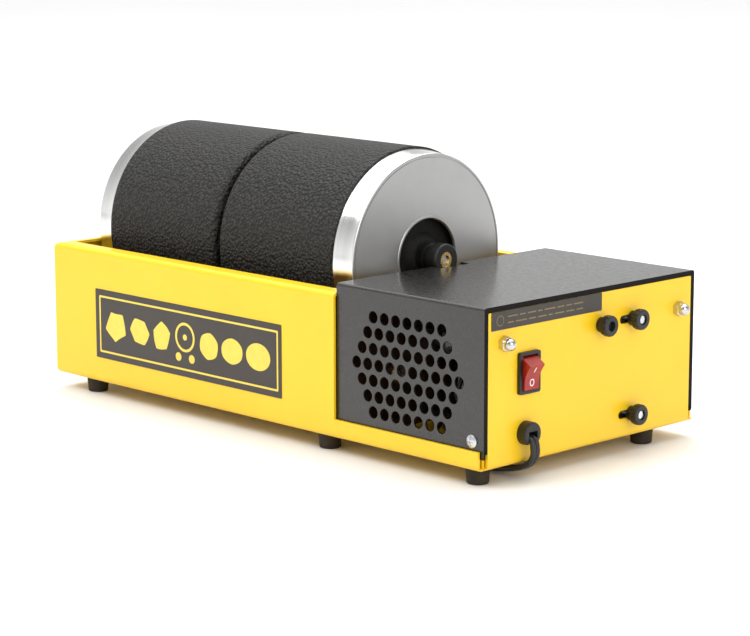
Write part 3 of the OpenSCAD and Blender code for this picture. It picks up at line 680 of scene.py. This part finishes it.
def rectangle(u0, u1, v0, v1, r=0.0):
    """An outline with its corners square, or round by r."""
    if not r:
        return [(u0, v0), (u1, v0), (u1, v1), (u0, v1)]
    out = []
    corners = ((u1 - r, v0 + r, -90), (u1 - r, v1 - r, 0),
               (u0 + r, v1 - r, 90), (u0 + r, v0 + r, 180))
    for u, v, start in corners:
        for a in range(start, start + 91, 15):
            out.append((u + r * math.cos(math.radians(a)), v + r * math.sin(math.radians(a))))
    return out


def stone(u, v, w, h, corners, roundness, turn):
    """A stone's outline: a polygon of a few corners, worn round by some share."""
    out = []
    steps = 60
    for k in range(steps):
        a = 2 * math.pi * k / steps
        step = 2 * math.pi / corners
        b = (a + turn) % step - step / 2
        flat = math.cos(step / 2) / math.cos(b)
        r = flat + (1 - flat) * roundness
        r *= 1 + 0.07 * (1 - roundness) * math.sin(2 * a + 3 * turn)
        out.append((u + w * r * math.cos(a), v + h * r * math.sin(a)))
    return out


# Where the nameplate's print is measured from, along X and Z in millimetres, and its outer face
PLATE_AT = (-53.95, 42.55)
NAMEPLATE_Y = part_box("nameplate")[0].y


def on_plate(u, v, out):
    """A point on the nameplate, u to the right and v up from PLATE_AT."""
    return Vector(((PLATE_AT[0] + u) * MM, NAMEPLATE_Y - out * MM, (PLATE_AT[1] + v) * MM))


# Rough stones on one side of a turning barrel and worn ones on the other
plate_print = [[rectangle(-74.8, 75.8, -16.3, 16.3, 0.8), rectangle(-73.7, 74.7, -15.2, 15.2, 0.5)]]
plate_print += [ring(0, 2.2, 8.2, 1.5), circle(0, 2.2, 1.7)]
plate_print += [circle(-5.6, -9.2, 2.4), circle(5.6, -9.2, 2.4)]
# Each stone's place, width and height, corners, roundness and turn
for u, w, h, corners, roundness, turn in (
    (-60, 9.0, 9.6, 5, 0.0, 0.4), (-39, 8.6, 7.6, 6, 0.12, 1.1), (-20, 7.4, 8.6, 5, 0.3, 2.2),
    (20, 7.6, 7.8, 6, 0.6, 0.7), (39, 8.8, 7.0, 6, 0.85, 1.6), (60, 9.6, 7.4, 6, 1.0, 0.0),
):
    plate_print.append(stone(u, 0, w, h, corners, roundness, turn))
printed("nameplate_print", plate_print, on_plate, "yellow_ink", "base")

# Where the end label's print is measured from, along Y and Z in millimetres, and its outer face
LABEL_AT = (-34.7, 82.15)
LABEL_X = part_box("end_label")[1].x


def on_label(u, v, out):
    """A point on the end label, u to the right and v up from LABEL_AT."""
    return Vector((LABEL_X + out * MM, (LABEL_AT[0] + u) * MM, (LABEL_AT[1] + v) * MM))


# A ring and two rows of plain dashes
DASH_START, DASH_GAP, DASH_HALF = -29.0, 1.6, 0.3
label_print = [ring(-34.5, 0, 2.6, 0.35)]
for v, dashes in ((1.5, (7, 4, 6, 3, 8, 5, 4, 7)), (-1.5, (4, 8, 5, 6, 3, 7, 6, 5))):
    u = DASH_START
    for dash in dashes:
        label_print.append(rectangle(u, u + dash, v - DASH_HALF, v + DASH_HALF))
        u += dash + DASH_GAP
printed("end_label_print", label_print, on_label, "dim_ink", "base")


# The rocker as in part.scad, in millimetres: its pivot, how far it is tipped at rest, and its
# face, as (height from the middle, distance from the pivot)
ROCKER_AT = (166, -49, 53.9)
ROCKER_TIP = math.radians(17)
ROCKER_FACE = [(-6.6, 7.2), (-4.2, 6.5), (-2.2, 6.0), (0.0, 5.75), (2.2, 6.0), (4.2, 6.5),
               (6.6, 7.2)]


def on_rocker(u, v, out):
    """A point on the rocker's hollow face, v up from its middle, then tipped about its pivot."""
    for (v0, x0), (v1, x1) in zip(ROCKER_FACE, ROCKER_FACE[1:]):
        if v <= v1:
            break
    x = x0 + (x1 - x0) * (v - v0) / (v1 - v0) + out
    c, s = math.cos(ROCKER_TIP), math.sin(ROCKER_TIP)
    return mm(ROCKER_AT[0] + x * c + v * s, ROCKER_AT[1] + u, ROCKER_AT[2] - x * s + v * c)


# The I is in two parts, because the face bends at 4.2 mm
marks = [rectangle(-0.3, 0.3, 2.3, 4.1), rectangle(-0.3, 0.3, 4.1, 5.2)]
marks += [ring(0, -3.1, 1.6, 0.45, 32, 1.15)]
printed("rocker_marks", marks, on_rocker, "white_ink", "switch_rocker", 0.05)


# ---------------------------------------------------------------- surfaces of the CAD nodes

for name, obj in nodes.items():
    mesh = obj.data
    if name in ("nameplate", "end_label"):
        continue
    mesh.polygons.foreach_set("use_smooth", [True] * len(mesh.polygons))
    mesh.set_sharp_from_angle(angle=math.radians(CAD_CREASE))


# ---------------------------------------------------------------- floor and light

def floor_paper():
    f = Finish("studio_floor", (0.83, 0.83, 0.83), 0.6)
    f.shade(f.noise(400, 2), 0.985, 1.0)
    return f.mat


FLOOR_HALF_SIZE = 30
FLOOR_Z = -0.1 * MM
bm = bmesh.new()
bmesh.ops.create_grid(bm, x_segments=1, y_segments=1, size=FLOOR_HALF_SIZE)
floor_mesh = bpy.data.meshes.new("floor")
bm.to_mesh(floor_mesh)
bm.free()
floor_mesh.materials.append(floor_paper())
floor = bpy.data.objects.new("floor", floor_mesh)
floor.location.z = FLOOR_Z
scene.collection.objects.link(floor)

# The sky is bright at the horizon and dimmer overhead
world = bpy.data.worlds.new("studio")
scene.world = world
world.use_nodes = True
sky = world.node_tree
# Over the height of a direction: where the fade starts and ends, and the strength at each
FADE = {"From Min": 0.05, "From Max": 0.6, "To Min": 1.05, "To Max": 0.32}
height = sky.nodes.new("ShaderNodeSeparateXYZ")
sky.links.new(sky.nodes.new("ShaderNodeTexCoord").outputs["Generated"], height.inputs["Vector"])
fade = sky.nodes.new("ShaderNodeMapRange")
for socket, value in FADE.items():
    fade.inputs[socket].default_value = value
sky.links.new(height.outputs["Z"], fade.inputs["Value"])
sky.nodes["Background"].inputs["Color"].default_value = (1, 1, 1, 1)
sky.links.new(fade.outputs["Result"], sky.nodes["Background"].inputs["Strength"])


def softbox(name, at, aim, width, height, power):
    """A rectangular lamp at one point that faces another."""
    light = bpy.data.lights.new(name, "AREA")
    light.shape = "RECTANGLE"
    light.size, light.size_y = width, height
    light.energy = power
    obj = bpy.data.objects.new(name, light)
    scene.collection.objects.link(obj)
    obj.location = at
    obj.rotation_euler = (Vector(at) - Vector(aim)).to_track_quat("Z", "Y").to_euler()


MIDDLE = (0, 0, 0.06)
softbox("key", (-0.6, -1.3, 1.7), MIDDLE, 1.2, 0.9, 18)
softbox("right", (1.9, -0.5, 1.0), MIDDLE, 1.2, 1.2, 12)
softbox("top", (-0.3, 0.5, 1.9), MIDDLE, 1.4, 1.0, 22)
softbox("ceiling", (-2, 2, 6), (-2, 2, 0), 12, 12, 620)
